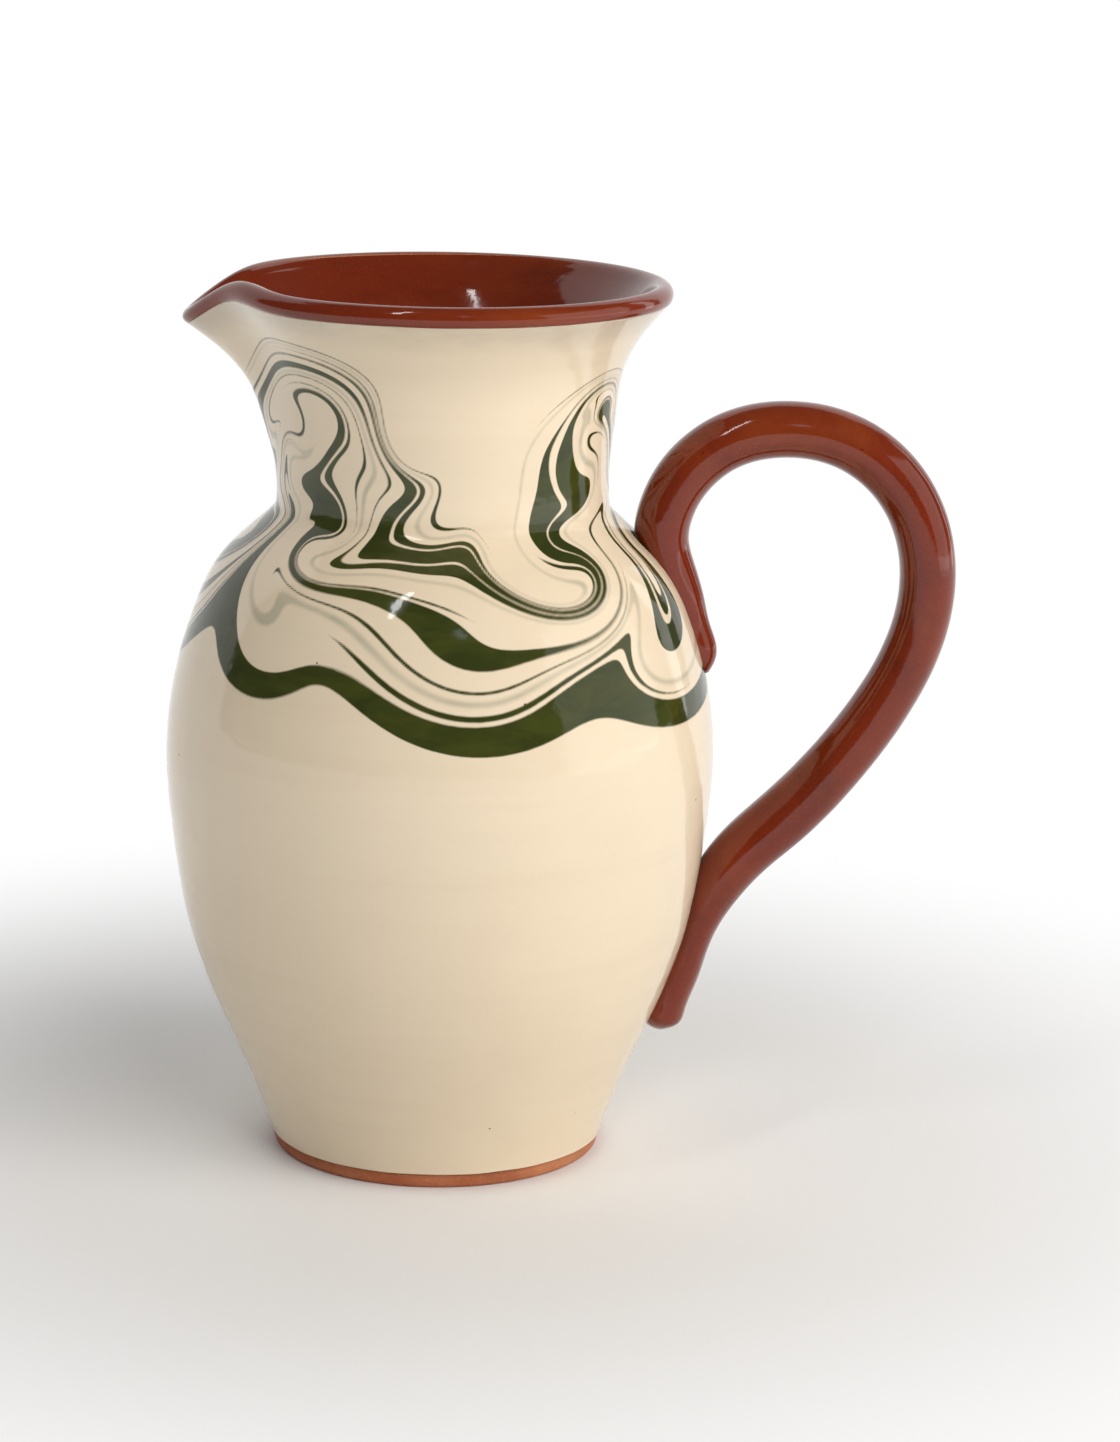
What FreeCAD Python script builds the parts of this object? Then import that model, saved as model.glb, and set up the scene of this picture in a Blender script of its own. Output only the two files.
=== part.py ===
"""Hand-thrown earthenware pitcher with a pulled spout, a rolled lip and a pulled loop handle.

Frame: the origin is the centre of the flat foot, on the axis the pot was thrown about.
+Z is up, the handle stands on +X and the spout points along -X.  Millimetres.
"""
import FreeCAD, Part
import math
import os

doc = FreeCAD.newDocument("pitcher")

# ---------------------------------------------------------------- driving dimensions
DIMENSIONS = [
    ("foot_radius", 45.3, "flat the pot stands on"),
    ("foot_edge", 1.4, "rounding at the foot's corner"),
    ("glaze_line", 4.2, "height where the slip coat stops above the bare foot"),
    ("belly_radius", 74.5, "widest radius, over the glaze"),
    ("waist_radius", 44.9, "crease between shoulder and neck"),
    ("waist_height", 178.6, "height of that crease"),
    ("lip_radius", 60.7, "outermost radius of the rolled lip"),
    ("lip_roll", 3.0, "radius of the roll"),
    ("rim_height", 240.0, "crest of the lip"),
    ("wall", 4.6, "clay thickness, belly and neck"),
    ("floor_thickness", 6.5, "clay thickness under the cavity"),
    ("coat_thickness", 0.8, "slip and glaze on the outside"),
    ("lining_thickness", 0.6, "glaze on the inside and over the lip"),
    ("spout_reach", 9.4, "how far the spout stands out past the lip"),
    ("spout_drop", 8.6, "how far its tip hangs under the lip"),
    ("spout_spread", 14.0, "angle from the spout's middle where its pull has mostly faded, degrees"),
    ("fold_lift", 1.8, "rise of the rim where it was pinched beside the spout"),
    ("fold_angle", 26.0, "angle from the spout's middle to that pinch, degrees"),
    ("handle_thickness", 15.2, "handle section, in the plane of the loop"),
    ("handle_width", 18.0, "handle section, across the loop"),
    ("handle_glaze_skin", 0.5, "glaze on the handle"),
]
sheet = doc.addObject("Spreadsheet::Sheet", "dimensions")
for row, (alias, value, meaning) in enumerate(DIMENSIONS, start=1):
    sheet.set(f"A{row}", alias)
    sheet.set(f"B{row}", str(value))
    sheet.set(f"C{row}", meaning)
    sheet.setAlias(f"B{row}", alias)
doc.recompute()


def size(alias):
    """The value that the spreadsheet holds under an alias."""
    return float(getattr(sheet, alias))


# ---------------------------------------------------------------- outlines, as (radius, height)
# The glazed outside of the belly: shares of the belly's radius and of the waist's height.
BELLY_OUTLINE = [(0.617, 0.024), (0.661, 0.078), (0.764, 0.180), (0.908, 0.336), (0.980, 0.504),
                 (1.0, 0.605), (0.980, 0.717), (0.910, 0.829), (0.784, 0.930), (0.680, 0.970)]
# The neck from the waist to the roll: shares of the lip's radius and of the rise from waist to crest.
NECK_OUTLINE = [(0.733, 0.170), (0.756, 0.400), (0.791, 0.625), (0.880, 0.792)]


def spline(points):
    """A smooth curve in the half-plane of radius (x) and height (z), through the points."""
    curve = Part.BSplineCurve()
    curve.interpolate([FreeCAD.Vector(radius, 0, height) for radius, height in points])
    return curve


def line(start, end):
    """A straight piece of outline, as a curve of one span."""
    return Part.LineSegment(FreeCAD.Vector(start[0], 0, start[1]),
                            FreeCAD.Vector(end[0], 0, end[1])).toBSpline()


def inset(points, distance):
    """The points moved square to their own outline, towards the clay (left of the way it runs)."""
    curve = spline(points)
    moved = []
    for radius, height in points:
        along = curve.tangent(curve.parameter(FreeCAD.Vector(radius, 0, height)))[0]
        moved.append((radius - along.z * distance, height + along.x * distance))
    return moved


def lip_arc(roll, start, end, count):
    """Points round the roll, from one angle to another; 0 points outward and 90 up."""
    centre = (size("lip_radius") - size("lip_roll"), size("rim_height") - size("lip_roll"))
    angles = [math.radians(start + (end - start) * step / (count - 1)) for step in range(count)]
    return [(centre[0] + roll * math.cos(a), centre[1] + roll * math.sin(a)) for a in angles]


LIP_START, LIP_END, LIP_POINTS = -45, 150, 8
lip_glazed = lip_arc(size("lip_roll"), LIP_START, LIP_END, LIP_POINTS)
lip_clay = lip_arc(size("lip_roll") - size("lining_thickness"), LIP_START, LIP_END, LIP_POINTS)
waist = (size("waist_radius"), size("waist_height"))
neck_rise = size("rim_height") - size("waist_height")
belly_out = [(r * size("belly_radius"), h * size("waist_height")) for r, h in BELLY_OUTLINE] + [waist]
neck_out = [(r * size("lip_radius"), size("waist_height") + h * neck_rise) for r, h in NECK_OUTLINE]
neck_out = [waist] + neck_out + [lip_glazed[0]]
belly_clay = inset(belly_out, size("coat_thickness"))
neck_clay = inset(neck_out, size("coat_thickness"))
# The two clay outlines meet in the crease, half way between their own ends.
waist_clay = tuple((a + b) / 2 for a, b in zip(belly_clay[-1], neck_clay[0]))
belly_clay[-1] = waist_clay
neck_clay[0] = waist_clay

wall_and_coat = size("wall") + size("coat_thickness")
neck_inside = inset(neck_out, wall_and_coat)[1:-1]
belly_inside = inset(belly_out, wall_and_coat)[1:-2]
# The cavity turns from wall to floor in a wide hollow, as shares of the foot's radius.
floor_height = size("floor_thickness")
hollow = [(0.890, 3.0), (0.790, 0.5), (0.650, 0.0)]
floor_points = [(share * size("foot_radius"), floor_height + rise) for share, rise in hollow]
inside_clay = lip_clay + neck_inside[::-1] + belly_inside[::-1] + floor_points


def lined(points):
    """The inside outline once it is glazed: every point moved off the clay."""
    return inset(points, -size("lining_thickness"))


inside_glazed = lip_glazed + lined(inside_clay)[len(lip_clay):]
inside_glazed[-1] = (floor_points[-1][0], floor_height + size("lining_thickness"))


# ---------------------------------------------------------------- from outline to pot wall
POLES_AROUND = 48
CURVE_DEGREE = 3
SPOUT_SIDE = 180.0         # the spout's middle, degrees round from the handle
SPOUT_ROOT_RISE = 1.4      # the pull starts this far above the waist
PULL_POWER = 1.5           # how quickly it grows towards the lip
SEWING_TOLERANCE = 0.001


def pulled(radius, height, angle):
    """A point of the thrown form after the spout is pulled and the rim pinched beside it."""
    root = size("waist_height") + SPOUT_ROOT_RISE
    share = max(0.0, min(1.0, (height - root) / (size("rim_height") - size("lip_roll") - root)))
    strength = share ** PULL_POWER
    off_middle = (math.degrees(angle) % 360.0) - SPOUT_SIDE
    pull = strength * math.exp(-(off_middle / size("spout_spread")) ** 2)
    fold = strength * math.exp(-((off_middle - size("fold_angle")) / size("spout_spread")) ** 2)
    out = radius + size("spout_reach") * pull
    up = height - size("spout_drop") * pull + size("fold_lift") * fold
    return FreeCAD.Vector(out * math.cos(angle), out * math.sin(angle), up)


def turned(curve):
    """The surface that an outline makes round the axis, with the spout pulled in it.

    A closed cubic spline runs inside its poles, so they stand out by the swell.
    """
    swell = 3.0 / (2.0 + math.cos(2 * math.pi / POLES_AROUND))
    rows = []
    for step in range(POLES_AROUND):
        angle = 2 * math.pi * step / POLES_AROUND
        rows.append([pulled(pole.x * swell, pole.z, angle) for pole in curve.getPoles()])
    surface = Part.BSplineSurface()
    surface.buildFromPolesMultsKnots(
        rows, [1] * (POLES_AROUND + 1), curve.getMultiplicities(),
        [float(step) for step in range(POLES_AROUND + 1)], curve.getKnots(),
        True, False, CURVE_DEGREE, curve.Degree)
    return surface


def disc(curve, at_end):
    """The flat round face that closes a form at one end of an outline."""
    surface = turned(curve)
    bounds = surface.bounds()
    return Part.Face(Part.Wire([surface.vIso(bounds[3] if at_end else bounds[2]).toShape()]))


def solid_of(curves, capped):
    """The solid inside a chain of outlines, closed by a disc at each end or into a ring."""
    faces = [turned(curve).toShape() for curve in curves]
    if capped:
        faces += [disc(curves[0], False), disc(curves[-1], True)]
    shell = Part.Compound(faces)
    shell.sewShape()
    solid = Part.Solid(shell.Shells[0])
    if solid.Volume < 0:
        solid.reverse()
    solid.fix(SEWING_TOLERANCE, SEWING_TOLERANCE, SEWING_TOLERANCE)
    return solid


def add_form(label, shape):
    """A document object that holds a shape made from the sheet's sizes."""
    form = doc.addObject("Part::Feature", label)
    form.Shape = shape
    form.Placement = FreeCAD.Placement()
    form.Label = label
    return form


edge = size("foot_edge")
foot_flat = (size("foot_radius") - edge, 0.0)
edge_angles = [math.radians(angle) for angle in range(-90, 1, 15)]
foot_side = spline([(foot_flat[0] + edge * math.cos(angle), edge + edge * math.sin(angle))
                    for angle in edge_angles])
bare_side = line((size("foot_radius"), edge), belly_clay[0])

thrown_body = add_form("thrown_body", solid_of(
    [foot_side, bare_side, spline(belly_clay), spline(neck_clay), line(neck_clay[-1], lip_clay[0]),
     spline(inside_clay)], capped=True))

coat_band = add_form("coat_band", solid_of(
    [line(belly_clay[0], belly_out[0]), spline(belly_out), spline(neck_out),
     line(neck_out[-1], neck_clay[-1]), spline(neck_clay[::-1]), spline(belly_clay[::-1])],
    capped=False))

lining_glaze = add_form("lining_glaze", solid_of(
    [spline(inside_clay[::-1]), line(lip_clay[0], lip_glazed[0]), spline(inside_glazed)],
    capped=True))

belly_form = add_form("belly_form", solid_of(
    [line(foot_flat, belly_out[0]), spline(belly_out)], capped=True))

# ---------------------------------------------------------------- pulled handle
# Its middle line in the plane of the loop, as (x, z), then the section there as shares of the
# handle's thickness and width: a tapering tail down the shoulder, the loop, a tail down the belly.
HANDLE_LINE = [
    (71.2, 133.8, 0.24, 0.26), (70.6, 136.8, 0.54, 0.50), (68.3, 145.0, 0.66, 0.60),
    (65.3, 153.0, 0.79, 0.75), (61.9, 161.5, 0.89, 0.90), (59.2, 170.0, 0.97, 1.04),
    (60.2, 178.5, 0.99, 1.06), (67.6, 191.0, 1.00, 1.00), (77.5, 198.0, 1.00, 1.00),
    (92.3, 201.0, 1.00, 1.00), (106.8, 198.6, 1.00, 1.00), (118.8, 191.2, 1.00, 1.00),
    (127.9, 178.3, 1.00, 1.00), (131.4, 162.0, 1.00, 1.00), (129.6, 147.0, 1.00, 1.00),
    (122.7, 130.2, 1.01, 1.00), (110.2, 111.4, 1.04, 1.00), (94.0, 93.4, 1.08, 1.02),
    (83.6, 83.6, 1.04, 1.06), (75.2, 72.0, 0.92, 1.02), (70.2, 60.0, 0.74, 0.92),
    (66.4, 49.0, 0.78, 0.86), (62.9, 40.0, 0.82, 0.84), (61.2, 35.6, 0.74, 0.76),
    (60.4, 33.4, 0.40, 0.44),
]


def handle_loft(label, skin):
    """The handle's whole form, ends sunk in the pot's wall, less a skin all round."""
    middle = Part.BSplineCurve()
    middle.interpolate([FreeCAD.Vector(x, 0, z) for x, z, _, _ in HANDLE_LINE])
    across = FreeCAD.Vector(0, 1, 0)
    sections = []
    for number, (x, z, thickness, width) in enumerate(HANDLE_LINE, start=1):
        place = FreeCAD.Vector(x, 0, z)
        along = middle.tangent(middle.parameter(place))[0]
        if number == 1:
            place += along * skin
        if number == len(HANDLE_LINE):
            place -= along * skin
        section = doc.addObject("Part::Ellipse", f"{label}_section_{number:02d}")
        section.setExpression("MajorRadius", f"dimensions.handle_width * {width} / 2 - {skin}")
        section.setExpression("MinorRadius", f"dimensions.handle_thickness * {thickness} / 2 - {skin}")
        section.Placement = FreeCAD.Placement(
            place, FreeCAD.Rotation(across, along.cross(across), along, "ZXY"))
        sections.append(section)
    loft = doc.addObject("Part::Loft", label)
    loft.Sections = sections
    loft.Solid = True
    loft.Ruled = False
    loft.Label = label
    return loft


def combined(kind, label, base, tool):
    """A boolean of two forms, as an object of the document."""
    result = doc.addObject(kind, label)
    result.Base = base
    result.Tool = tool
    result.Label = label
    return result


def common_of(label, *forms):
    """What several forms share."""
    result = doc.addObject("Part::MultiCommon", label)
    result.Shapes = list(forms)
    result.Label = label
    return result


skin = size("handle_glaze_skin")
glazed_loft = handle_loft("glazed_handle_form", 0.0)
clay_loft = handle_loft("clay_handle_form", skin)
handle = combined("Part::Cut", "handle", clay_loft, belly_form)
glaze_sleeve = combined("Part::Cut", "handle_glaze_sleeve", glazed_loft, clay_loft)
handle_glaze = combined("Part::Cut", "handle_glaze", glaze_sleeve, belly_form)

# ---------------------------------------------------------------- slip coat and the luted joints
slip_coat = combined("Part::Cut", "slip_coat", coat_band, glazed_loft)
# Each zone is a box on the handle's side that holds one of the two joints: the box's foot and its
# height, as shares of the waist's height.
LOWER_ZONE = (0.0, 0.60)
UPPER_ZONE = (0.62, 0.60)


def joint_zone(label, foot, height):
    """A box over the handle's side of the pot, from one share of the waist's height."""
    zone = doc.addObject("Part::Box", label)
    zone.setExpression("Length", "dimensions.belly_radius * 2")
    zone.setExpression("Width", "dimensions.belly_radius * 2")
    zone.setExpression("Height", f"dimensions.waist_height * {height}")
    zone.setExpression("Placement.Base.y", "-dimensions.belly_radius")
    zone.setExpression("Placement.Base.z", f"dimensions.waist_height * {foot}")
    return zone


upper_zone = joint_zone("upper_zone", *UPPER_ZONE)
lower_zone = joint_zone("lower_zone", *LOWER_ZONE)
upper_luting_slip = common_of("upper_luting_slip", coat_band, glazed_loft, upper_zone)
lower_luting_slip = common_of("lower_luting_slip", coat_band, glazed_loft, lower_zone)

# ---------------------------------------------------------------- check and write the pieces
doc.recompute()
NODES = [thrown_body, slip_coat, lining_glaze, handle, handle_glaze, upper_luting_slip,
         lower_luting_slip]
for item in doc.Objects:
    if "Invalid" in item.State or "Error" in item.State:
        raise SystemExit(f"{item.Label} failed: {item.State}")
for node in NODES:
    if node.Shape.isNull() or not node.Shape.isValid():
        raise SystemExit(f"{node.Label} has no valid shape")
os.makedirs("parts", exist_ok=True)
for node in NODES:
    node.Shape.exportStep(f"parts/{node.Label}.step")
    print(node.Label, len(node.Shape.Solids), "solid")
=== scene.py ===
"""Hand-thrown earthenware pitcher, glazed and marbled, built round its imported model.

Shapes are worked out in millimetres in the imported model's frame (+Z up, the handle on +X, the
spout on -X) and written as metres.  Angles round the axis are degrees from the handle, "east".
Heights on the marbled map are "north": degrees of the same scale as east, 0 at the waist crease,
so that a small patch of the map has the shape it has on the pot.
"""
import math

import bpy
import numpy as np
from mathutils import Euler, Matrix, Vector


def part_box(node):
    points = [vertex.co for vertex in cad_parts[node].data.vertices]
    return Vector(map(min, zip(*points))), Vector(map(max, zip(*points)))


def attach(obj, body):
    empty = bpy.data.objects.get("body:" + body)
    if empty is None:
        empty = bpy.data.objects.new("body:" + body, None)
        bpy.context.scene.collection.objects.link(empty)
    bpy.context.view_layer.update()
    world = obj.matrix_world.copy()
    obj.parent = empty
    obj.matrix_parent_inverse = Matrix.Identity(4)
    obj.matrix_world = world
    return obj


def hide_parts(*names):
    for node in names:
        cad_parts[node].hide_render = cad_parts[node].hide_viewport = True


MM = 0.001
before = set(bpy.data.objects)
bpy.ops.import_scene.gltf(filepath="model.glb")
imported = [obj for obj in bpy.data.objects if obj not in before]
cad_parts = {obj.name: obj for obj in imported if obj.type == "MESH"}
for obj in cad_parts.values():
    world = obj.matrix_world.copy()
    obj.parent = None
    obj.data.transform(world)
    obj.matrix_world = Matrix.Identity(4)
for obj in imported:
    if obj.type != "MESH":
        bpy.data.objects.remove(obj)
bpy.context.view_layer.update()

# ---------------------------------------------------------------- driving sizes, millimetres
BELLY_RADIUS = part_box("slip_coat")[1].y / MM
FOLD_LIFT = 1.8
RIM_HEIGHT = 240.0
WAIST_RADIUS = 44.9
WAIST_HEIGHT = 178.6
LIP_RADIUS = 60.7
LIP_ROLL = 3.0
FOOT_RADIUS = 45.3
FOOT_EDGE = 1.4
GLAZE_LINE = 4.2
WALL = 4.6
COAT = 0.8
LINING = 0.6
FLOOR_THICKNESS = 6.5
HANDLE_THICKNESS = 15.2
HANDLE_WIDTH = 18.0
HANDLE_SKIN = 0.5
SPOUT_REACH = 9.4
SPOUT_DROP = 8.6
SPOUT_SPREAD = 14.0
SPOUT_ROOT_RISE = 1.4
PULL_POWER = 1.5
FOLD_ANGLE = 26.0
SPOUT_SIDE = 180.0

# Shares of the belly's radius and the waist's height, then of the lip's radius and the neck's rise.
BELLY_OUTLINE = [(0.617, 0.024), (0.661, 0.078), (0.764, 0.180), (0.908, 0.336), (0.980, 0.504),
                 (1.0, 0.605), (0.980, 0.717), (0.910, 0.829), (0.784, 0.930), (0.680, 0.970)]
NECK_OUTLINE = [(0.733, 0.170), (0.756, 0.400), (0.791, 0.625), (0.880, 0.792)]
FLOOR_HOLLOW = [(0.890, 3.0), (0.790, 0.5), (0.650, 0.0)]


# ---------------------------------------------------------------- outlines
def natural_spline(points, per_span=60):
    """Dense points of the smooth curve that runs through the given ones."""
    p = np.asarray(points, float)
    count = len(p)
    gaps = np.linalg.norm(np.diff(p, axis=0), axis=1)
    system = np.zeros((count, count))
    right = np.zeros((count, p.shape[1]))
    system[0, 0] = system[-1, -1] = 1.0
    for i in range(1, count - 1):
        before, after = gaps[i - 1], gaps[i]
        system[i, i - 1:i + 2] = before, 2 * (before + after), after
        right[i] = 6 * ((p[i + 1] - p[i]) / after - (p[i] - p[i - 1]) / before)
    bend = np.linalg.solve(system, right)
    spans = []
    for i, gap in enumerate(gaps):
        s = np.linspace(0, gap, per_span, endpoint=i == count - 2)[:, None]
        t = gap - s
        cubic = (bend[i] * t ** 3 + bend[i + 1] * s ** 3) / (6 * gap)
        line = (p[i] / gap - bend[i] * gap / 6) * t + (p[i + 1] / gap - bend[i + 1] * gap / 6) * s
        spans.append(cubic + line)
    return np.concatenate(spans)


def arc_length(points):
    """Running length along a chain of points."""
    return np.concatenate([[0.0], np.cumsum(np.linalg.norm(np.diff(points, axis=0), axis=1))])


def spaced(points, spacing):
    """The same chain with its points a given distance apart."""
    length = arc_length(points)
    stops = np.linspace(0, length[-1], max(2, int(round(length[-1] / spacing)) + 1))
    return np.stack([np.interp(stops, length, column) for column in points.T], 1)


def leftward(points):
    """Unit normals on the left of the way a chain runs, in the plane of radius and height."""
    along = np.gradient(points, axis=0)
    along /= np.linalg.norm(along, axis=1)[:, None]
    return np.stack([-along[:, 1], along[:, 0]], 1)


def lip_arc(roll, start, end, count):
    """Points round the lip's roll; 0 degrees points outward and 90 up."""
    angle = np.radians(np.linspace(start, end, count))
    return np.stack([LIP_RADIUS - LIP_ROLL + roll * np.cos(angle),
                     RIM_HEIGHT - LIP_ROLL + roll * np.sin(angle)], 1)


LIP_START, LIP_END = -45.0, 150.0
CREASE_ROUNDING = 1.1


def outside_outline():
    """The glazed outside from the glaze line to the lip, with the waist crease softened."""
    waist = (WAIST_RADIUS, WAIST_HEIGHT)
    neck_rise = RIM_HEIGHT - WAIST_HEIGHT
    belly = [(r * BELLY_RADIUS, h * WAIST_HEIGHT) for r, h in BELLY_OUTLINE] + [waist]
    neck = [(r * LIP_RADIUS, WAIST_HEIGHT + h * neck_rise) for r, h in NECK_OUTLINE]
    neck = [waist] + neck + [tuple(lip_arc(LIP_ROLL, LIP_START, LIP_END, 8)[0])]
    chain = spaced(np.concatenate([natural_spline(belly)[:-1], natural_spline(neck)]), 0.25)
    reach = int(3 * CREASE_ROUNDING / 0.25)
    weights = np.exp(-0.5 * (np.arange(-reach, reach + 1) * 0.25 / CREASE_ROUNDING) ** 2)
    weights /= weights.sum()
    before = 2 * chain[0] - chain[reach:0:-1]
    after = 2 * chain[-1] - chain[-2:-reach - 2:-1]
    padded = np.concatenate([before, chain, after])
    return np.stack([np.convolve(column, weights, "valid") for column in padded.T], 1)


OUTSIDE = outside_outline()
OUTSIDE_RUN = arc_length(OUTSIDE)


def north_scale():
    """North of every point of the outside outline."""
    middle_radius = 0.5 * (OUTSIDE[1:, 0] + OUTSIDE[:-1, 0])
    north = np.degrees(np.concatenate([[0.0], np.cumsum(np.diff(OUTSIDE_RUN) / middle_radius)]))
    return north - np.interp(WAIST_HEIGHT, OUTSIDE[:, 1], north)


OUTSIDE_NORTH = north_scale()


# ---------------------------------------------------------------- the pulled, slightly uneven form
def pulled(radius, height, east):
    """Points of the thrown form after the spout is pulled and the rim pinched beside it."""
    root = WAIST_HEIGHT + SPOUT_ROOT_RISE
    share = np.clip((height - root) / (RIM_HEIGHT - LIP_ROLL - root), 0, 1)
    strength = share ** PULL_POWER
    off_middle = east % 360.0 - SPOUT_SIDE
    pull = strength * np.exp(-(off_middle / SPOUT_SPREAD) ** 2)
    fold = strength * np.exp(-((off_middle - FOLD_ANGLE) / SPOUT_SPREAD) ** 2)
    out = radius + SPOUT_REACH * pull
    angle = np.radians(east)
    return np.stack([out * np.cos(angle), out * np.sin(angle),
                     height - SPOUT_DROP * pull + FOLD_LIFT * fold], -1)


def waves(position, seed, longest, shortest, count):
    """A smooth random curve of unit size: a sum of sine waves with seeded sizes and phases."""
    random = np.random.default_rng(seed)
    lengths = np.geomspace(longest, shortest, count)
    phases = random.uniform(0, 2 * math.pi, count)
    sizes = lengths ** 0.5 * random.uniform(0.5, 1.0, count)
    total = sum(size * np.sin(2 * math.pi * position / length + phase)
                for size, length, phase in zip(sizes, lengths, phases))
    return total / sizes.sum()


def ring_waves(east, seed, turns):
    """A random curve round the pot that meets itself: whole waves up to so many in a turn."""
    random = np.random.default_rng(seed)
    counts = np.arange(1, turns + 1)
    sizes = random.uniform(0.4, 1.0, turns) / counts ** 0.6
    phases = random.uniform(0, 2 * math.pi, turns)
    total = sum(size * np.sin(np.radians(east) * count + phase)
                for size, count, phase in zip(sizes, counts, phases))
    return total / sizes.sum()


RING_DEPTH = 0.10
OVAL = 0.12


def hand_made(height, east):
    """How far the wall stands out from its true outline: throwing rings and a slight oval."""
    rings = RING_DEPTH * waves(height + east / 360.0 * 9.0, 11, 23.0, 4.5, 9)
    return rings + OVAL * np.sin(np.radians(2 * east + 40))


# ---------------------------------------------------------------- meshes
def new_mesh(name, corners, faces):
    """A Blender object from points in millimetres and faces that are lists of point numbers."""
    mesh = bpy.data.meshes.new(name)
    mesh.from_pydata((corners * MM).tolist(), [], faces)
    mesh.polygons.foreach_set("use_smooth", [True] * len(mesh.polygons))
    mesh.update()
    piece = bpy.data.objects.new(name, mesh)
    bpy.context.scene.collection.objects.link(piece)
    return piece


def ring_faces(rows, columns, start=0):
    """Quads between neighbouring closed rings of points."""
    row, column = np.meshgrid(np.arange(rows - 1), np.arange(columns), indexing="ij")
    here = start + row * columns + column
    side = start + row * columns + (column + 1) % columns
    return np.stack([here, side, side + columns, here + columns], -1).reshape(-1, 4)


def grid_object(name, grid, close="open"):
    """A tube of rings.  close is "loop" for a ring of rings, or "caps" to shut both ends."""
    rows, columns = grid.shape[:2]
    corners = grid.reshape(-1, 3)
    faces = ring_faces(rows, columns).tolist()
    if close == "loop":
        last = (rows - 1) * columns
        for column in range(columns):
            side = (column + 1) % columns
            faces.append([last + column, last + side, side, column])
    if close == "caps":
        first, last = corners[:columns].mean(0), corners[-columns:].mean(0)
        corners = np.concatenate([corners, [first, last]])
        for column in range(columns):
            side = (column + 1) % columns
            faces.append([side, column, rows * columns])
            faces.append([(rows - 1) * columns + column, (rows - 1) * columns + side,
                          rows * columns + 1])
    return new_mesh(name, corners, faces)


def set_map(piece, across, along):
    """The map used for baking: a share across and along for every corner of every face."""
    mesh = piece.data
    layer = mesh.uv_layers.new(name="OFBake")
    numbers = np.zeros(len(mesh.loops), int)
    mesh.loops.foreach_get("vertex_index", numbers)
    u = across[numbers].copy()
    starts = np.zeros(len(mesh.polygons), int)
    mesh.polygons.foreach_get("loop_start", starts)
    totals = np.zeros(len(mesh.polygons), int)
    mesh.polygons.foreach_get("loop_total", totals)
    face = np.repeat(np.arange(len(starts)), totals)
    highest = np.maximum.reduceat(u, starts)
    u[(highest[face] - u) > 0.5] += 1.0
    layer.data.foreach_set("uv", np.stack([u, along[numbers]], 1).ravel())


def keep_value(piece, name, values):
    """A number stored at every point of the mesh, which a material can read by name."""
    attribute = piece.data.attributes.new(name, "FLOAT", "POINT")
    attribute.data.foreach_set("value", np.asarray(values, np.float32))


# ---------------------------------------------------------------- the marbling
# Green and cream slips are laid on as level bands while wet, and the pot is then tilted and turned,
# which draws the bands out into swirls. The colour at a point is found by undoing the movements, the
# last one first. All places are in map degrees, east round the pot and north up it.
FAR = 6.0                # depths are kept up to this
EDGE_BLUR = 0.28         # width over which a common edge turns from cream to green
GREEN_BANDS = [(-50, -40), (-38.5, -36.5), (-29, -27.8), (-21, -12), (-10.8, -8.6), (-1.2, 0),
               (7, 15), (16.2, 25), (26.2, 29), (36, 37.4)]
FAINT_BANDS = [(-33.5, -31.5), (2.6, 4.4), (32, 33.2)]
FAINT_STRENGTH = 0.55
SWIRL_SEED = 12
SWIRL_ROWS = [(-30, 7, 25, 1.5), (14, 6, 30, 2.0), (-6, 9, 15, 1.7), (30, 8, 14, 1.3)]
ROLL_HEIGHT = 5.0        # how far the slow rolling of the pot lifts and lowers the bands
RUN_OUT = 3.6            # how much thinner the bands are where the slip ran out


def swirled_back(east, north, centre, size, turn):
    """Where the slip at each point came from, before it was turned about a centre."""
    across = (east - centre[0] + 180) % 360 - 180
    up = north - centre[1]
    angle = -turn * np.exp(-(across ** 2 + up ** 2) / size ** 2)
    return (centre[0] + across * np.cos(angle) - up * np.sin(angle),
            centre[1] + across * np.sin(angle) + up * np.cos(angle))


def swirls():
    """Every swirl in the order it was made: rows round the pot, each of (north, count, size, turn)."""
    chance = np.random.default_rng(SWIRL_SEED)
    made = []
    for height, count, size, turn in SWIRL_ROWS:
        for number in range(count):
            east = (number + chance.uniform(-0.32, 0.32)) * 360.0 / count
            north = height + chance.uniform(-0.35, 0.35) * size
            way = 1.0 if chance.random() < 0.55 else -1.0
            reach = size * chance.uniform(0.75, 1.2)
            made.append(((east, north), reach, way * turn * chance.uniform(0.8, 1.25)))
    return made


def depth_in(bands, level):
    """How far each level lies inside the nearest of some (bottom, top) bands."""
    return np.max([np.minimum(level - low, high - level) for low, high in bands], axis=0)


def marbling(north, east):
    """Depth inside the green, softness of its edge and strength of the faint wash, on a grid."""
    east, level = np.meshgrid(east, north)
    up_step = np.gradient(north)[:, None]
    east_step = east[0, 1] - east[0, 0]
    for centre, size, turn in reversed(swirls()):
        east, level = swirled_back(east, level, centre, size, turn)
    level = level - ROLL_HEIGHT * (np.sin(np.radians(2 * east + 40)) + 0.5 * np.sin(np.radians(5 * east)))
    across = (np.roll(level, -1, axis=1) - np.roll(level, 1, axis=1)) / (2 * east_step)
    stretch = np.maximum(np.hypot(np.gradient(level, axis=0) / up_step, across), 0.5)
    spent = (0.5 + 0.5 * np.sin(np.radians(3 * east + 7 * level))) ** 3
    depth = np.clip((depth_in(GREEN_BANDS, level) - RUN_OUT * spent) / stretch, -FAR, FAR)
    soft = EDGE_BLUR * np.clip(stretch / 2.5, 1.0, 2.2)
    faint = np.clip(0.5 + depth_in(FAINT_BANDS, level) / stretch, 0, 1)
    return depth, soft, FAINT_STRENGTH * faint


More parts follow.
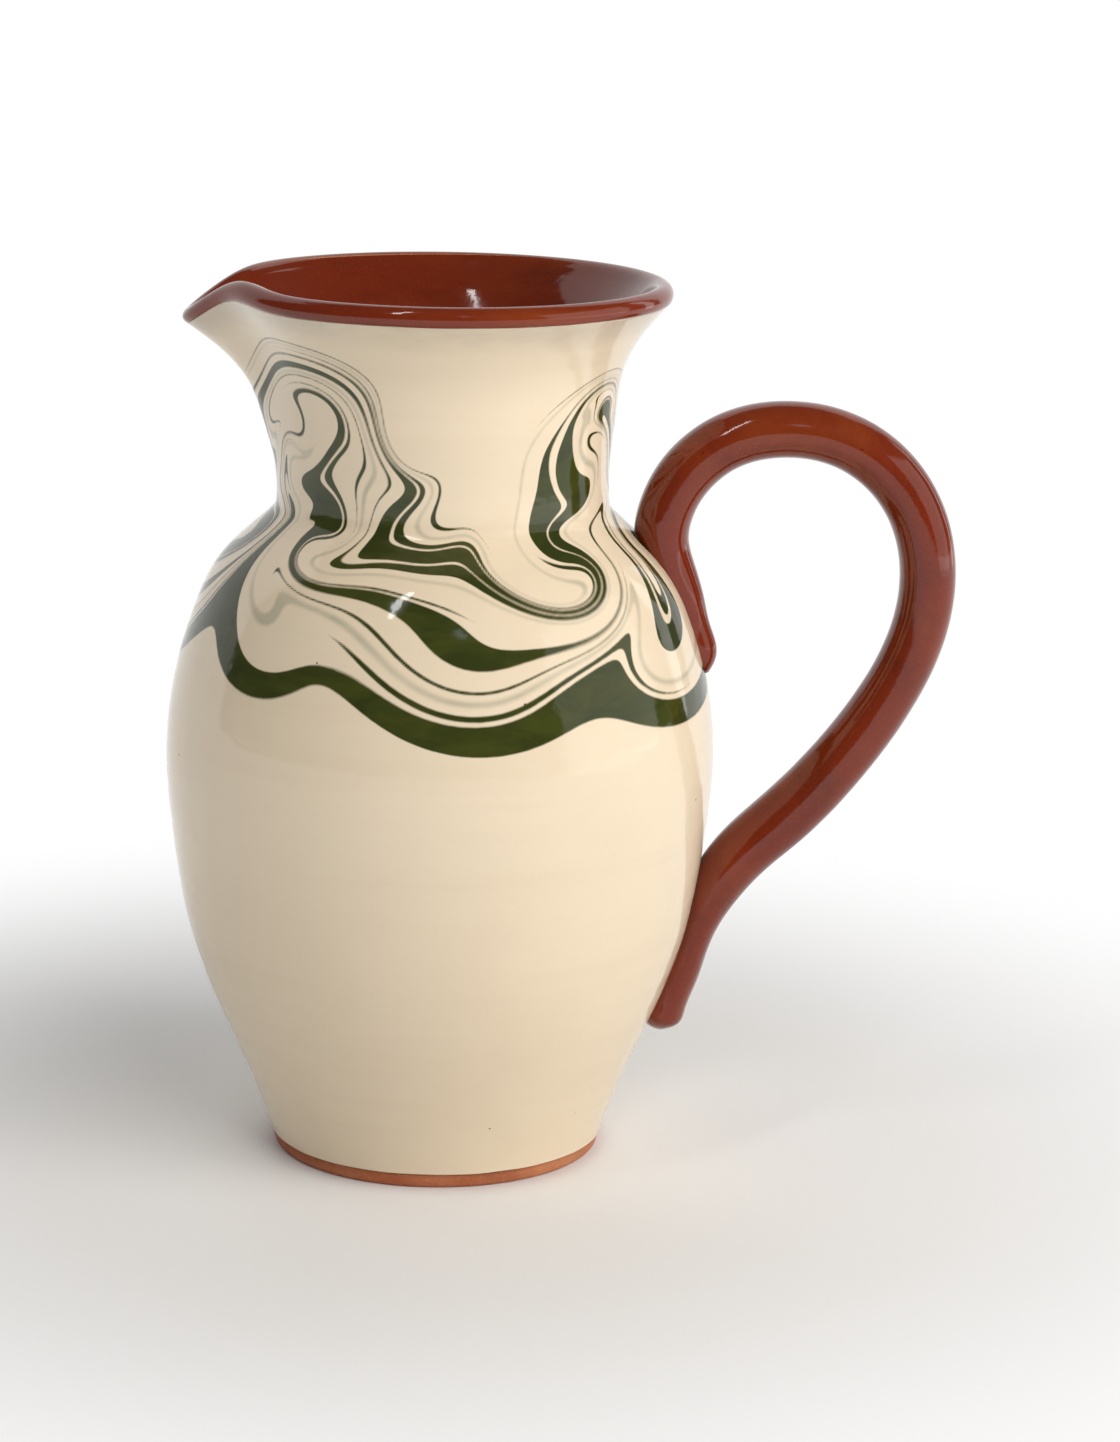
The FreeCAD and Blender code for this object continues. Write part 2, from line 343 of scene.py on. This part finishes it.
# ---------------------------------------------------------------- slip coat
COAT_COLUMNS = 720
MARBLE_FLOOR = 112.0       # height under which the coat is plain
FINE_ROW, PLAIN_ROW = 0.42, 1.5
EDGE_BLEND = 9.0           # height over which the ragged foot edge fades into the true form


def glaze_edge(east):
    """Height at which the coat stops above the bare foot, all round."""
    return GLAZE_LINE + 0.55 * ring_waves(east, 21, 26) + 0.35 * ring_waves(east, 22, 5)


def coat_rows():
    """The outside outline from the glaze line to the lip: plain rows, then fine ones."""
    split = np.searchsorted(OUTSIDE[:, 1], MARBLE_FLOOR)
    plain = spaced(OUTSIDE[:split + 1], PLAIN_ROW)
    fine = spaced(OUTSIDE[split:], FINE_ROW)
    return np.concatenate([plain[:-1], fine])


def coat_surface(rows, depth, columns):
    """The coat's face so far under its outside, following the ragged line at the foot."""
    east = np.arange(columns) * 360.0 / columns
    normals = leftward(rows)
    moved = rows + normals * depth
    radius = moved[:, 0][:, None] + np.zeros(columns)
    height = moved[:, 1][:, None] + np.zeros(columns)
    away = np.clip((rows[:, 1] - rows[0, 1]) / EDGE_BLEND, 0, 1)[:, None]
    height += (1 - away) ** 2 * (glaze_edge(east) - GLAZE_LINE)[None, :]
    radius += hand_made(height, east[None, :]) * np.clip(away * 2, 0, 1)
    return pulled(radius, height, east[None, :] + 0 * height)


def make_coat():
    """One closed shell of glazed slip, with the marbling kept at its points."""
    rows = coat_rows()
    outer = coat_surface(rows, 0.0, COAT_COLUMNS)
    inner = coat_surface(rows, COAT, COAT_COLUMNS)[::-6]
    # The glaze ends above the foot in a rounded bead.
    angles = np.radians(np.linspace(-80, 80, 6))
    lowest, lowest_inner = outer[0], inner[-1]
    middle, half = (lowest + lowest_inner) / 2, (lowest - lowest_inner) / 2
    bead = [middle + half * math.sin(a) - np.array([0, 0, 0.45]) * math.cos(a) for a in angles]
    grid = np.concatenate([outer, inner, np.stack(bead)])
    coat = grid_object("slip_coat", grid, close="loop")
    north = np.interp(rows[:, 1], OUTSIDE[:, 1], OUTSIDE_NORTH)
    depth, soft, faint = marbling(north, np.arange(COAT_COLUMNS) * 360.0 / COAT_COLUMNS)
    hidden = (len(grid) - len(rows)) * COAT_COLUMNS
    for name, field, plain in (("marble", depth, -FAR), ("marble_soft", soft, EDGE_BLUR),
                               ("marble_smoke", faint, 0.0)):
        keep_value(coat, name, np.concatenate([field.ravel(), np.full(hidden, plain)]))
    edge = np.zeros((len(grid), COAT_COLUMNS))
    edge[:len(rows)] = rows[:, 1][:, None]
    keep_value(coat, "coat_height", edge.ravel())
    across = np.tile(np.arange(COAT_COLUMNS) / COAT_COLUMNS, len(grid))
    run = arc_length(rows)
    along = np.concatenate([0.03 + 0.96 * run / run[-1], np.linspace(0.028, 0.0, len(grid) - len(rows))])
    set_map(coat, across, np.repeat(along, COAT_COLUMNS))
    return coat


# ---------------------------------------------------------------- glazed lining, lip and clay
LINING_COLUMNS = 360


def inset(points, distance):
    """The outline's own points moved square to it, inwards."""
    dense = natural_spline(points)
    normals = leftward(dense)
    picks = [int(np.argmin(np.hypot(*(dense - point).T))) for point in np.asarray(points, float)]
    return np.asarray(points, float) + normals[picks] * distance


def inside_outline(depth):
    """The cavity's outline from the crest of the lip to the middle of the floor."""
    waist = (WAIST_RADIUS, WAIST_HEIGHT)
    neck_rise = RIM_HEIGHT - WAIST_HEIGHT
    belly = [(r * BELLY_RADIUS, h * WAIST_HEIGHT) for r, h in BELLY_OUTLINE] + [waist]
    neck = [(r * LIP_RADIUS, WAIST_HEIGHT + h * neck_rise) for r, h in NECK_OUTLINE]
    neck = [waist] + neck + [tuple(lip_arc(LIP_ROLL, LIP_START, LIP_END, 8)[0])]
    floor_height = FLOOR_THICKNESS + LINING - (depth - WALL - COAT - LINING)
    hollow = [(share * FOOT_RADIUS, floor_height + rise) for share, rise in FLOOR_HOLLOW]
    chain = np.concatenate([lip_arc(LIP_ROLL, 90, LIP_END, 4), inset(neck, depth)[1:-1][::-1],
                            inset(belly, depth)[1:-2][::-1], hollow])
    curve = spaced(natural_spline(chain), 1.4)
    middle = np.stack([np.linspace(curve[-1, 0], 1.0, 14), np.full(14, curve[-1, 1])], 1)
    return np.concatenate([curve, middle[1:]])


def lip_edge(east):
    """Angle round the roll at which the brown glaze stops, all round."""
    return -44.0 - 7.0 * ring_waves(east, 31, 30) - 5.0 * ring_waves(east, 32, 6)


def make_lining():
    """The brown glaze inside the pot and over its lip, as one closed shell."""
    east = np.arange(LINING_COLUMNS) * 360.0 / LINING_COLUMNS
    inside = inside_outline(WALL + COAT + LINING)
    start = lip_edge(east)
    rings = []
    for share in np.linspace(0, 1, 30):
        angle = np.radians(start + (90.0 - start) * share)
        roll = LIP_ROLL + 0.16 * math.sin(min(share * 9, 1) * math.pi / 2) - 0.16 * share
        rings.append(pulled(LIP_RADIUS - LIP_ROLL + roll * np.cos(angle),
                            RIM_HEIGHT - LIP_ROLL + roll * np.sin(angle), east))
    for radius, height in inside[1:]:
        rings.append(pulled(radius - 0.8 * hand_made(height, east) * np.clip(radius / 20.0, 0, 1),
                            height + 0 * east, east))
    under = []
    for radius, height in inside_outline(WALL + COAT)[::-5]:
        under.append(pulled(radius + 0 * east, height + 0 * east, east))
    angle = np.radians(start)
    buried = LIP_ROLL - LINING
    for share in np.linspace(1, 0, 8):
        angle = np.radians(start + (90.0 - start) * share)
        under.append(pulled(LIP_RADIUS - LIP_ROLL + buried * np.cos(angle),
                            RIM_HEIGHT - LIP_ROLL + buried * np.sin(angle), east))
    under = [ring + np.array([0, 0, -LINING]) if ring[:, 2].max() < FLOOR_THICKNESS + 1 else ring
             for ring in under]
    grid = np.stack(rings + under)
    lining = grid_object("lining_glaze", grid, close="loop")
    run = np.linspace(0.99, 0.02, len(rings))
    along = np.concatenate([run, np.linspace(0.018, 0.0, len(under))])
    set_map(lining, np.tile(np.arange(LINING_COLUMNS) / LINING_COLUMNS, len(grid)),
            np.repeat(along, LINING_COLUMNS))
    return lining


FOOT_COLUMNS = 360
CUT_GROOVES = 3.1        # spacing of the marks that the cutting wire left


def make_body():
    """The thrown clay: the bare foot and its underside in detail, the rest under the glaze."""
    east = np.arange(FOOT_COLUMNS) * 360.0 / FOOT_COLUMNS
    rings = []
    for radius in np.linspace(0.8, FOOT_RADIUS - FOOT_EDGE, 46):
        x, y = radius * np.cos(np.radians(east)), radius * np.sin(np.radians(east))
        sweep = np.hypot(x + 18.0, y - 60.0)
        groove = 0.5 + 0.5 * np.sin(2 * math.pi * sweep / CUT_GROOVES + 1.5 * np.sin(sweep / 11.0))
        lift = 0.30 * groove * np.clip((FOOT_RADIUS - FOOT_EDGE - radius) / 4.0, 0, 1)
        rings.append(np.stack([x, y, lift + 0.05], 1))
    for angle in np.radians(np.linspace(-80, 0, 7)):
        chipped = FOOT_EDGE * (1 + 0.25 * ring_waves(east, 41, 40))
        out = FOOT_RADIUS - FOOT_EDGE + 0 * east + chipped * math.cos(angle) - 0.25 * FOOT_EDGE
        ring_height = chipped * (1 + math.sin(angle))
        rings.append(np.stack([out * np.cos(np.radians(east)), out * np.sin(np.radians(east)),
                               ring_height], 1))
    side = OUTSIDE + leftward(OUTSIDE) * (COAT - 0.05)
    for height in np.linspace(1.9, side[0, 1], 6):
        out = FOOT_RADIUS - 0.15 + 0.12 * ring_waves(east + 3 * height, 42, 18)
        rings.append(np.stack([out * np.cos(np.radians(east)), out * np.sin(np.radians(east)),
                               height + 0 * east], 1))
    for radius, height in spaced(side, 3.0)[1:]:
        rings.append(pulled(radius + 0 * east, height + 0 * east, east))
    for radius, height in lip_arc(LIP_ROLL - LINING, LIP_START + 15, 90, 7):
        rings.append(pulled(radius + 0 * east, height + 0 * east, east))
    for radius, height in inside_outline(WALL + COAT)[1::3]:
        rings.append(pulled(radius + 0 * east, height + 0 * east, east))
    return grid_object("thrown_body", np.stack(rings), close="caps")


# ---------------------------------------------------------------- pulled handle
# Its middle line in the plane of the loop, as (x, z), then the section there as shares of the
# handle's thickness and width: a tapering tail down the shoulder, the loop, a tail down the belly.
HANDLE_LINE = [
    (71.2, 133.8, 0.24, 0.26), (70.6, 136.8, 0.54, 0.50), (68.3, 145.0, 0.66, 0.60),
    (65.3, 153.0, 0.79, 0.75), (61.9, 161.5, 0.89, 0.90), (59.2, 170.0, 0.97, 1.04),
    (60.2, 178.5, 0.99, 1.06), (67.6, 191.0, 1.00, 1.00), (77.5, 198.0, 1.00, 1.00),
    (92.3, 201.0, 1.00, 1.00), (106.8, 198.6, 1.00, 1.00), (118.8, 191.2, 1.00, 1.00),
    (127.9, 178.3, 1.00, 1.00), (131.4, 162.0, 1.00, 1.00), (129.6, 147.0, 1.00, 1.00),
    (122.7, 130.2, 1.01, 1.00), (110.2, 111.4, 1.04, 1.00), (94.0, 93.4, 1.08, 1.02),
    (83.6, 83.6, 1.04, 1.06), (75.2, 72.0, 0.92, 1.02), (70.2, 60.0, 0.74, 0.92),
    (66.4, 49.0, 0.78, 0.86), (62.9, 40.0, 0.82, 0.84), (61.2, 35.6, 0.74, 0.76),
    (60.4, 33.4, 0.40, 0.44),
]
HANDLE_AROUND = 72
SUNK = 0.9               # how deep the tails sit under the pot's glazed face


def sunk_in_pot(points):
    """Points that would go deeper into the wall are brought back to just under its face."""
    radius = np.hypot(points[..., 0], points[..., 1])
    face = np.interp(points[..., 2], OUTSIDE[:, 1], OUTSIDE[:, 0])
    slope = np.interp(points[..., 2], OUTSIDE[:, 1], leftward(OUTSIDE)[:, 0])
    depth = (face - radius) * -slope
    # The neck turns away above the waist, so only what is below it lies against the belly.
    buried = (depth > SUNK) & (points[..., 2] < WAIST_HEIGHT) & (points[..., 2] > 20.0)
    push = np.where(buried, (depth - SUNK) / np.maximum(-slope, 0.3), 0.0)
    scale = (radius + push) / np.maximum(radius, 1e-6)
    return np.stack([points[..., 0] * scale, points[..., 1] * scale, points[..., 2]], -1)


def handle_grid(skin):
    """Rings of points along the handle's oval section, less a skin all round."""
    dense = natural_spline(HANDLE_LINE)
    stops = spaced(dense, 0.9)
    along = np.gradient(stops[:, :2], axis=0)
    along /= np.linalg.norm(along, axis=1)[:, None]
    run = arc_length(stops[:, :2])
    turn = np.linspace(2 * math.pi, 0, HANDLE_AROUND, endpoint=False)
    rings = []
    for (x, z, thick, wide), (dx, dz), place in zip(stops, along, run):
        half_thick = HANDLE_THICKNESS * thick / 2 - skin
        half_wide = HANDLE_WIDTH * wide / 2 - skin
        uneven = 1 + 0.006 * waves(place + 9 * np.sin(turn), 51, 60.0, 9.0, 6)
        out = half_thick * np.cos(turn) * uneven
        rings.append(np.stack([x - dz * out, half_wide * np.sin(turn) * uneven, z + dx * out], 1))
    return np.stack(rings), run, turn


def make_handle_glaze():
    grid, run, turn = handle_grid(0.0)
    grid = sunk_in_pot(grid)
    glaze = grid_object("handle_glaze", grid, close="caps")
    across = np.concatenate([np.tile(turn / (2 * math.pi), len(grid)), [0.5, 0.5]])
    along = np.concatenate([np.repeat(0.01 + 0.98 * run / run[-1], HANDLE_AROUND), [0.0, 1.0]])
    set_map(glaze, across, along)
    return glaze


def make_handle_clay():
    grid, _, _ = handle_grid(HANDLE_SKIN)
    return grid_object("handle", sunk_in_pot(grid)[::4, ::2], close="caps")


# ---------------------------------------------------------------- materials
def new_material(name):
    material = bpy.data.materials.new(name)
    material.use_nodes = True
    return material


def node(material, kind, inputs=(), **settings):
    """A shader node with its settings; inputs are (name or number, value or socket) pairs."""
    made = material.node_tree.nodes.new(kind)
    for key, value in settings.items():
        setattr(made, key, value)
    for key, value in inputs:
        if isinstance(value, bpy.types.NodeSocket):
            material.node_tree.links.new(value, made.inputs[key])
        else:
            made.inputs[key].default_value = value
    return made


def surface(material):
    return material.node_tree.nodes["Principled BSDF"]


def plug(material, socket, name):
    material.node_tree.links.new(socket, surface(material).inputs[name])


def place(material, stretch=(1.0, 1.0, 1.0)):
    """The point on the object, in metres, stretched along each axis."""
    point = node(material, "ShaderNodeTexCoord").outputs["Object"]
    return node(material, "ShaderNodeVectorMath", [(0, point), (1, stretch)],
                operation="MULTIPLY").outputs[0]


def noise(material, scale, detail=3.0, roughness=0.5, distortion=0.0, stretch=(1.0, 1.0, 1.0)):
    return node(material, "ShaderNodeTexNoise",
                [("Vector", place(material, stretch)), ("Scale", scale), ("Detail", detail),
                 ("Roughness", roughness), ("Distortion", distortion)]).outputs["Fac"]


def ramp(material, value, start, end, low=0.0, high=1.0, smooth=True):
    """The value carried from one range to another and held at its ends."""
    return node(material, "ShaderNodeMapRange",
                [("Value", value), ("From Min", start), ("From Max", end), ("To Min", low),
                 ("To Max", high)],
                interpolation_type="SMOOTHSTEP" if smooth else "LINEAR").outputs["Result"]


def calc(material, operation, first, second=0.0, third=0.0):
    return node(material, "ShaderNodeMath", [(0, first), (1, second), (2, third)],
                operation=operation).outputs[0]


def blend(material, share, first, second, how="MIX"):
    """Two colours mixed by a share."""
    mixed = node(material, "ShaderNodeMix", data_type="RGBA", blend_type=how)
    for key, value in ((0, share), (6, first), (7, second)):
        if isinstance(value, bpy.types.NodeSocket):
            material.node_tree.links.new(value, mixed.inputs[key])
        else:
            mixed.inputs[key].default_value = value if key == 0 else (*value, 1.0)
    return mixed.outputs[2]


def kept(material, name):
    return node(material, "ShaderNodeAttribute", attribute_name=name).outputs["Fac"]


def bumped(material, height, distance, strength=1.0):
    normal = node(material, "ShaderNodeBump", [("Height", height), ("Distance", distance),
                                               ("Strength", strength)])
    plug(material, normal.outputs["Normal"], "Normal")


def specks(material, scale, share, size):
    """1 in small round specks scattered in some of the cells of a random pattern."""
    cells = node(material, "ShaderNodeTexVoronoi", [("Vector", place(material)), ("Scale", scale)])
    chosen = calc(material, "LESS_THAN", node(
        material, "ShaderNodeSeparateColor", [(0, cells.outputs["Color"])]).outputs[0], share)
    near = ramp(material, cells.outputs["Distance"], size, size * 0.5)
    return calc(material, "MULTIPLY", chosen, near)


CREAM = (0.800, 0.675, 0.500)
CREAM_THIN = (0.700, 0.560, 0.400)
# Painted shade: the darker grey cream laid in a band just under the lip.
CREAM_LIP_SHADE = (0.520, 0.450, 0.370)
GREEN = (0.050, 0.058, 0.0085)
GREEN_DEEP = (0.030, 0.038, 0.006)
GREEN_SMOKE = (0.240, 0.250, 0.170)
SPECK = (0.120, 0.070, 0.045)


def coat_material():
    """Cream slip under a clear glaze, with the olive green marbling trailed into it."""
    m = new_material("cream_slip_glazed")
    cloud = ramp(m, noise(m, 22.0, 4.0, 0.6), 0.35, 0.75)
    wiped = ramp(m, noise(m, 60.0, 4.0, 0.6, stretch=(0.12, 0.12, 2.2)), 0.40, 0.72)
    thin = calc(m, "MAXIMUM", calc(m, "MULTIPLY", cloud, 0.22), calc(m, "MULTIPLY", wiped, 0.20))
    cream = blend(m, thin, CREAM, CREAM_THIN)
    height = kept(m, "coat_height")
    # Painted shade under the rolled lip: from 226 to 235 mm up, the cream turns greyer and darker in
    # patches.
    lip_shade_patches = noise(m, 45.0, 5.0, 0.65, stretch=(0.5, 0.5, 2.0))
    lip_shade = calc(m, "MULTIPLY", ramp(m, height, 226.0, 235.0), ramp(m, lip_shade_patches, 0.30, 0.62, 0.25, 0.75))
    cream = blend(m, lip_shade, cream, CREAM_LIP_SHADE)
    grain = noise(m, 900.0, 2.0, 0.7)
    cream = blend(m, ramp(m, grain, 0.55, 0.80, 0.0, 0.20), cream, CREAM_THIN)
    cream = blend(m, specks(m, 130.0, 0.10, 0.055), cream, SPECK)
    feather = calc(m, "MULTIPLY_ADD", noise(m, 420.0, 3.0, 0.6), 0.30, -0.15)
    soft = kept(m, "marble_soft")
    depth = calc(m, "ADD", kept(m, "marble"), calc(m, "MULTIPLY", feather, 0.6))
    share = calc(m, "MULTIPLY_ADD", calc(m, "DIVIDE", depth, soft), 0.5, 0.5)
    green_share = ramp(m, share, 0.0, 1.0)
    streak = noise(m, 70.0, 5.0, 0.62, 0.8, stretch=(0.6, 0.6, 1.6))
    green = blend(m, ramp(m, streak, 0.35, 0.70), GREEN_DEEP, GREEN)
    smoke = calc(m, "MULTIPLY", kept(m, "marble_smoke"), ramp(m, streak, 0.25, 0.75, 0.55, 1.0))
    cream = blend(m, smoke, cream, GREEN_SMOKE)
    colour = blend(m, green_share, cream, green)
    plug(m, colour, "Base Color")
    plug(m, ramp(m, noise(m, 90.0, 3.0), 0.3, 0.7, 0.055, 0.105), "Roughness")
    surface(m).inputs["IOR"].default_value = 1.47
    pits = calc(m, "MULTIPLY", specks(m, 210.0, 0.06, 0.06), -1.0)
    peel = calc(m, "MULTIPLY", noise(m, 330.0, 2.0, 0.45), 0.35)
    sag = calc(m, "MULTIPLY", noise(m, 75.0, 2.0, 0.5, stretch=(1.0, 1.0, 1.8)), 1.6)
    bumped(m, calc(m, "ADD", calc(m, "ADD", peel, sag), calc(m, "MULTIPLY", pits, 0.8)), 0.00010)
    return m


BROWN = (0.165, 0.0175, 0.0030)
BROWN_THIN = (0.270, 0.055, 0.0100)
BROWN_DEEP = (0.080, 0.0100, 0.0030)


def brown_material(name, stretch):
    """Honey brown glaze over red clay: darker where it pools, orange where it is thin."""
    m = new_material(name)
    drift = noise(m, 26.0, 5.0, 0.6, 0.6, stretch=stretch)
    colour = blend(m, ramp(m, drift, 0.42, 0.78, 0.0, 0.55), BROWN, BROWN_THIN)
    pool = noise(m, 55.0, 3.0, 0.6, stretch=stretch)
    colour = blend(m, ramp(m, pool, 0.50, 0.75, 0.0, 0.45), colour, BROWN_DEEP)
    grain = noise(m, 1400.0, 2.0, 0.7)
    colour = blend(m, ramp(m, grain, 0.52, 0.75, 0.0, 0.30), colour, BROWN_THIN)
    colour = blend(m, specks(m, 260.0, 0.12, 0.10), colour, BROWN_DEEP)
    plug(m, colour, "Base Color")
    plug(m, ramp(m, noise(m, 120.0, 3.0), 0.3, 0.7, 0.07, 0.13), "Roughness")
    surface(m).inputs["IOR"].default_value = 1.5
    peel = calc(m, "MULTIPLY", noise(m, 420.0, 2.0, 0.5), 0.30)
    sag = calc(m, "MULTIPLY", noise(m, 90.0, 2.0, 0.5), 1.1)
    bumped(m, calc(m, "ADD", peel, sag), 0.00010)
    return m


CLAY = (0.430, 0.120, 0.045)
CLAY_PALE = (0.560, 0.230, 0.110)
CLAY_DARK = (0.220, 0.055, 0.022)


def clay_material():
    """Bare fired terracotta, gritty and a little uneven in colour."""
    m = new_material("terracotta")
    colour = blend(m, ramp(m, noise(m, 35.0, 5.0, 0.6), 0.35, 0.70), CLAY, CLAY_PALE)
    colour = blend(m, ramp(m, noise(m, 16.0, 4.0, 0.6), 0.52, 0.72, 0.0, 0.55), colour, CLAY_DARK)
    grit = noise(m, 1300.0, 3.0, 0.75)
    colour = blend(m, ramp(m, grit, 0.56, 0.70, 0.0, 0.7), colour, CLAY_PALE)
    plug(m, colour, "Base Color")
    surface(m).inputs["Roughness"].default_value = 0.82
    bumped(m, calc(m, "ADD", grit, calc(m, "MULTIPLY", noise(m, 320.0, 3.0), 1.5)), 0.00025)
    return m


# ---------------------------------------------------------------- stage, lights and camera
FLOOR_SIZE = 3.0
FLOOR_WHITE = 0.88


def make_floor():
    """A pale round floor that fades into the white surround."""
    turns = np.radians(np.arange(0, 360, 3.0))
    rings = [np.stack([r * np.cos(turns), r * np.sin(turns), 0 * turns], 1)
             for r in (30.0, FLOOR_SIZE / MM)]
    floor = new_mesh("floor", np.concatenate(rings),
                     ring_faces(2, len(turns))[:, ::-1].tolist() + [list(range(len(turns)))])
    m = new_material("white_floor")
    shader = surface(m)
    shader.inputs["Base Color"].default_value = (FLOOR_WHITE, FLOOR_WHITE, FLOOR_WHITE, 1)
    shader.inputs["Roughness"].default_value = 0.6
    distance = node(m, "ShaderNodeVectorMath", [(0, place(m))], operation="LENGTH").outputs["Value"]
    glow = node(m, "ShaderNodeEmission", [("Color", (1, 1, 1, 1)), ("Strength", 1.0)])
    mixed = node(m, "ShaderNodeMixShader", [(0, ramp(m, distance, 0.10, 0.34)),
                                            (1, shader.outputs[0]), (2, glow.outputs[0])])
    m.node_tree.links.new(mixed.outputs[0], m.node_tree.nodes["Material Output"].inputs["Surface"])
    floor.data.materials.append(m)


# The surround: a white wall behind, a dim room in front, as angles round from the camera's side,
# towards the right.
WALL_LEFT, WALL_RIGHT = -104.0, 138.0
WALL_LIGHT, ROOM_LIGHT = 0.95, 0.10


def make_surround():
    world = bpy.data.worlds.new("surround")
    bpy.context.scene.world = world
    world.use_nodes = True
    nodes, links = world.node_tree.nodes, world.node_tree.links
    sky = nodes["Background"]
    sides = nodes.new("ShaderNodeSeparateXYZ")
    links.new(nodes.new("ShaderNodeTexCoord").outputs["Generated"], sides.inputs[0])
    turn = nodes.new("ShaderNodeMath")
    turn.operation = "ARCTAN2"
    links.new(sides.outputs["X"], turn.inputs[0])
    back = nodes.new("ShaderNodeMath")
    back.operation = "MULTIPLY"
    back.inputs[1].default_value = -1.0
    links.new(sides.outputs["Y"], back.inputs[0])
    links.new(back.outputs[0], turn.inputs[1])

    def step(value, edge, above):
        test = nodes.new("ShaderNodeMath")
        test.operation = "GREATER_THAN" if above else "LESS_THAN"
        links.new(value, test.inputs[0])
        test.inputs[1].default_value = edge
        return test.outputs[0]

    def joined(first, second, operation):
        total = nodes.new("ShaderNodeMath")
        total.operation = operation
        links.new(first, total.inputs[0])
        links.new(second, total.inputs[1])
        return total.outputs[0]

    wall = joined(step(turn.outputs[0], math.radians(WALL_LEFT), False),
                  step(turn.outputs[0], math.radians(WALL_RIGHT), True), "MAXIMUM")
    low = step(sides.outputs["Z"], math.sin(math.radians(52.0)), False)
    wall = joined(wall, low, "MULTIPLY")
    level = nodes.new("ShaderNodeMapRange")
    level.inputs["To Min"].default_value = ROOM_LIGHT
    level.inputs["To Max"].default_value = WALL_LIGHT
    links.new(wall, level.inputs["Value"])
    seen = nodes.new("ShaderNodeLightPath").outputs["Is Camera Ray"]
    strength = joined(level.outputs[0], seen, "MAXIMUM")
    sky.inputs["Color"].default_value = (1, 1, 1, 1)
    links.new(strength, sky.inputs["Strength"])


def towards(turn, rise, distance):
    """A place as seen from the pot's middle: degrees round from the camera's side, degrees up."""
    around, up = math.radians(turn), math.radians(rise)
    return Vector((math.sin(around) * math.cos(up), -math.cos(around) * math.cos(up),
                   math.sin(up))) * distance + POT_MIDDLE


POT_MIDDLE = Vector((0.0, 0.0, RIM_HEIGHT * MM / 2))


def area_light(name, turn, rise, distance, width, height, power, colour=(1, 1, 1), shiny=True):
    light = bpy.data.lights.new(name, "AREA")
    light.shape = "RECTANGLE"
    light.size, light.size_y = width, height
    light.energy = power
    light.color = colour
    lamp = bpy.data.objects.new(name, light)
    lamp.location = towards(turn, rise, distance)
    lamp.rotation_euler = (POT_MIDDLE - lamp.location).to_track_quat("-Z", "Y").to_euler()
    lamp.visible_glossy = shiny
    bpy.context.scene.collection.objects.link(lamp)


def make_lights():
    area_light("key", 42, 34, 1.6, 1.5, 1.3, 21.0, (1.0, 0.965, 0.92), shiny=False)
    area_light("window", 78, 16, 1.0, 0.95, 0.75, 2.4, (1.0, 0.98, 0.95))
    area_light("window_edge", 123, 16, 1.0, 0.14, 0.75, 0.45)
    area_light("far_panes", 12, 38, 1.4, 0.10, 0.16, 0.10, (0.75, 0.88, 1.0))
    area_light("strip", -28, 58, 1.2, 0.05, 0.5, 1.2)


CAMERA_PLACE = (0.0326, -1.1113, 0.3827)
CAMERA_DOWN = 0.2327
CAMERA_LEAN = 0.0184
CAMERA_LENS = 104.4
SENSOR = 36.0


def make_camera():
    camera = bpy.data.objects.new("camera", bpy.data.cameras.new("camera"))
    camera.data.sensor_fit = "VERTICAL"
    camera.data.sensor_height = SENSOR
    camera.data.lens = CAMERA_LENS
    turn = Euler((math.pi / 2 - CAMERA_DOWN, 0, 0)).to_matrix() @ Matrix.Rotation(CAMERA_LEAN, 3, "Z")
    camera.matrix_world = Matrix.Translation(CAMERA_PLACE) @ turn.to_4x4()
    bpy.context.scene.collection.objects.link(camera)
    bpy.context.scene.camera = camera


# ---------------------------------------------------------------- the whole
def finish_piece(piece, material, node_name):
    piece.data.materials.append(material)
    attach(piece, "root")
    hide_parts(node_name)


def main():
    bpy.context.scene.view_settings.view_transform = "Standard"
    make_camera()
    make_floor()
    make_surround()
    make_lights()
    clay = clay_material()
    brown_in = brown_material("brown_glaze_lining", (0.5, 0.5, 2.0))
    brown_handle = brown_material("brown_glaze_handle", (1.0, 1.0, 1.0))
    finish_piece(make_body(), clay, "thrown_body")
    finish_piece(make_coat(), coat_material(), "slip_coat")
    finish_piece(make_lining(), brown_in, "lining_glaze")
    finish_piece(make_handle_clay(), clay, "handle")
    finish_piece(make_handle_glaze(), brown_handle, "handle_glaze")
    for name in ("upper_luting_slip", "lower_luting_slip"):
        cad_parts[name].data.materials.clear()
        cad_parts[name].data.materials.append(clay)


main()
